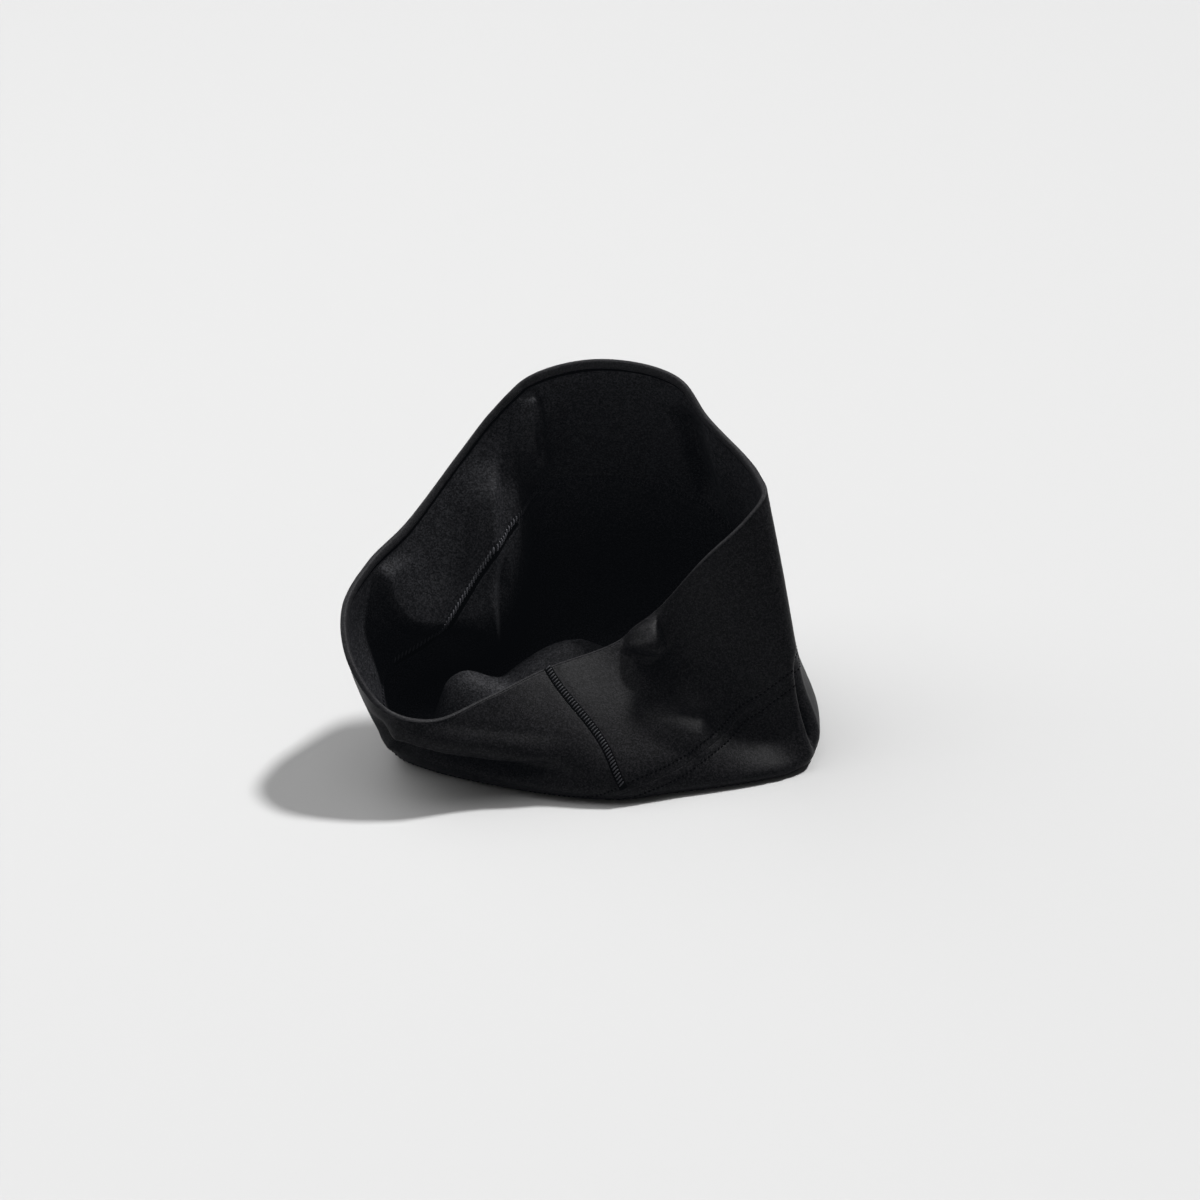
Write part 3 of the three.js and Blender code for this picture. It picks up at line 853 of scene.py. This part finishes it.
THREAD_LOOKS = {
    "specular": 0.1, "fibre_scale": 4000, "grain_scale": 2600, "mottle_scale": 200, "roughness": (0.4, 0.5),
    "bump": 0.4, "bump_depth": 0.15,
}
JERSEY = cloth_material(
    "jersey_face",
    (0.0, 0.0, 0.0),
    (0.0181, 0.0174, 0.0191),
    {
        "specular": 0.07, "fibre_scale": 2100, "grain_scale": 1800, "mottle_scale": 70,
        "roughness": (0.46, 0.54), "bump": 0.35, "bump_depth": 0.2,
    },
)
FLEECE = cloth_material(
    "fleece_back",
    (0.002, 0.002, 0.0024),
    (0.037, 0.037, 0.0407),
    {
        "specular": 0.06, "fibre_scale": 1900, "grain_scale": 1400, "mottle_scale": 50,
        "roughness": (0.55, 0.65), "bump": 0.45, "bump_depth": 0.3,
    },
)
# the turned edge is the same black cloth, made lighter than the jersey as painted highlight for the bright
# line its edge catches
HEM = cloth_material(
    "hem_cloth",
    (0.01, 0.0098, 0.0105),
    (0.03, 0.0292, 0.0315),
    {
        "specular": 0.07, "fibre_scale": 2400, "grain_scale": 1600, "mottle_scale": 80,
        "roughness": (0.45, 0.55), "bump": 0.4, "bump_depth": 0.35,
    },
)
THREAD = cloth_material("sewing_thread", (0.022, 0.022, 0.025), (0.05, 0.05, 0.055), THREAD_LOOKS)
INNER_THREAD = cloth_material("inner_thread", (0.012, 0.012, 0.014), (0.03, 0.03, 0.034), THREAD_LOOKS)
# the same inner thread, painted lighter where the key lights the facet: painted light
LIT_LOOP_THREAD = cloth_material("inner_thread_painted_lit", (0.05, 0.05, 0.056), (0.11, 0.11, 0.122), THREAD_LOOKS)
# near-black: painted shade for the ladder's strip, the seam's opening and the hem's groove; on the needle
# rows it is their black thread, darkened further as painted shade for the dimples it pulls in
BLACK_THREAD_AND_SHADE = cloth_material(
    "black_thread_and_painted_shade",
    (0.0003, 0.0003, 0.0003),
    (0.0008, 0.0008, 0.0008),
    {**THREAD_LOOKS, "specular": 0.02, "roughness": (0.7, 0.8), "bump": 0.2, "bump_depth": 0.1},
)


def dress(piece, slot, *materials):
    for material in materials:
        piece.data.materials.append(material)
    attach(piece, "root")
    return piece


band_piece = dress(side_band(), "jersey", JERSEY, FLEECE)
crown_piece = dress(crown(), "jersey", JERSEY, FLEECE)
hem_piece = dress(rim_hem(), "hem", HEM)
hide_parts("side_band")
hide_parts("crown")
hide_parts("rim_hem")
ladder_shade_piece, rungs_piece = back_seam_threads()
rows = crown_seam_threads()
seam_shade_piece, loops_piece, lit_loops_piece = crown_seam_loops()
groove_piece = painted_groove_shade()
dress(rungs_piece, "jersey", THREAD)
dress(lit_loops_piece, "jersey", LIT_LOOP_THREAD)
dress(loops_piece, "jersey", INNER_THREAD)
# the near-black of painted shade; on the needle rows it also stands for their black thread
for thread in (ladder_shade_piece, seam_shade_piece, *rows):
    dress(thread, "jersey", BLACK_THREAD_AND_SHADE)
# the groove's line takes the near-black of painted shade
dress(groove_piece, "hem", BLACK_THREAD_AND_SHADE)


# Stage, in metres
FLOOR_SIZE = 8.0
FLOOR_DROP = 0.0002  # keeps the floor just clear of the cloth that lies on it
FLOOR_COLOUR = (0.48, 0.48, 0.48, 1)
FLOOR_ROUGHNESS = 0.9
FLOOR_SPECULAR = 0.1
KEY_FROM = (0.52, 0.5, 1.0)
KEY_POWER = 4.3
KEY_SPREAD = 6  # degrees across
FILL_FROM = (-0.75, 0.45, 0.75)
FILL_POWER = 2.0
FILL_SPREAD = 70
ROOM_LIGHT = 0.075  # even light from all round
OVERHEAD = {"at": (-0.25, 0.3, 1.5), "size": 1.0, "power": 4.5}


def plain_floor():
    bpy.ops.object.select_all(action="DESELECT")
    bpy.ops.mesh.primitive_plane_add(size=FLOOR_SIZE, location=(0, 0, -FLOOR_DROP))
    floor = bpy.context.object
    floor.name = "floor"
    material = bpy.data.materials.new("pale_floor")
    material.use_nodes = True
    shader = material.node_tree.nodes["Principled BSDF"]
    shader.inputs["Base Color"].default_value = FLOOR_COLOUR
    shader.inputs["Roughness"].default_value = FLOOR_ROUGHNESS
    shader.inputs["Specular IOR Level"].default_value = FLOOR_SPECULAR
    floor.data.materials.append(material)


def lights():
    for name, power, spread, side in (
        ("key", KEY_POWER, KEY_SPREAD, KEY_FROM),
        ("fill", FILL_POWER, FILL_SPREAD, FILL_FROM),
    ):
        sun = bpy.data.lights.new(name, "SUN")
        sun.energy = power
        sun.angle = math.radians(spread)
        lamp = bpy.data.objects.new(name, sun)
        lamp.rotation_euler = Vector(side).to_track_quat("Z", "Y").to_euler()
        bpy.context.scene.collection.objects.link(lamp)
    overhead = bpy.data.lights.new("overhead", "AREA")
    overhead.energy = OVERHEAD["power"]
    overhead.size = OVERHEAD["size"]
    lamp = bpy.data.objects.new("overhead", overhead)
    lamp.location = OVERHEAD["at"]
    bpy.context.scene.collection.objects.link(lamp)
    world = bpy.context.scene.world or bpy.data.worlds.new("studio")
    bpy.context.scene.world = world
    world.use_nodes = True
    background = world.node_tree.nodes["Background"]
    background.inputs["Color"].default_value = (1, 1, 1, 1)
    background.inputs["Strength"].default_value = ROOM_LIGHT


VIEW_UP = 30  # degrees that the camera looks down
VIEW_AWAY = 1.4
VIEW_AT = (0, 0, 60)  # in the tables' millimetres
VIEW_FAR = 50
LENS = 105


def camera():
    data = bpy.data.cameras.new("camera")
    data.lens = LENS
    data.clip_end = VIEW_FAR
    eye = bpy.data.objects.new("camera", data)
    bpy.context.scene.collection.objects.link(eye)
    target = Vector((np.array(VIEW_AT) + PLACE) * MM)
    up = math.radians(VIEW_UP)
    back = Vector((0, -math.cos(up), math.sin(up)))
    eye.location = target + back * VIEW_AWAY
    eye.rotation_euler = back.to_track_quat("Z", "Y").to_euler()
    bpy.context.scene.camera = eye


plain_floor()
lights()
camera()
bpy.context.scene.view_settings.view_transform = "Standard"
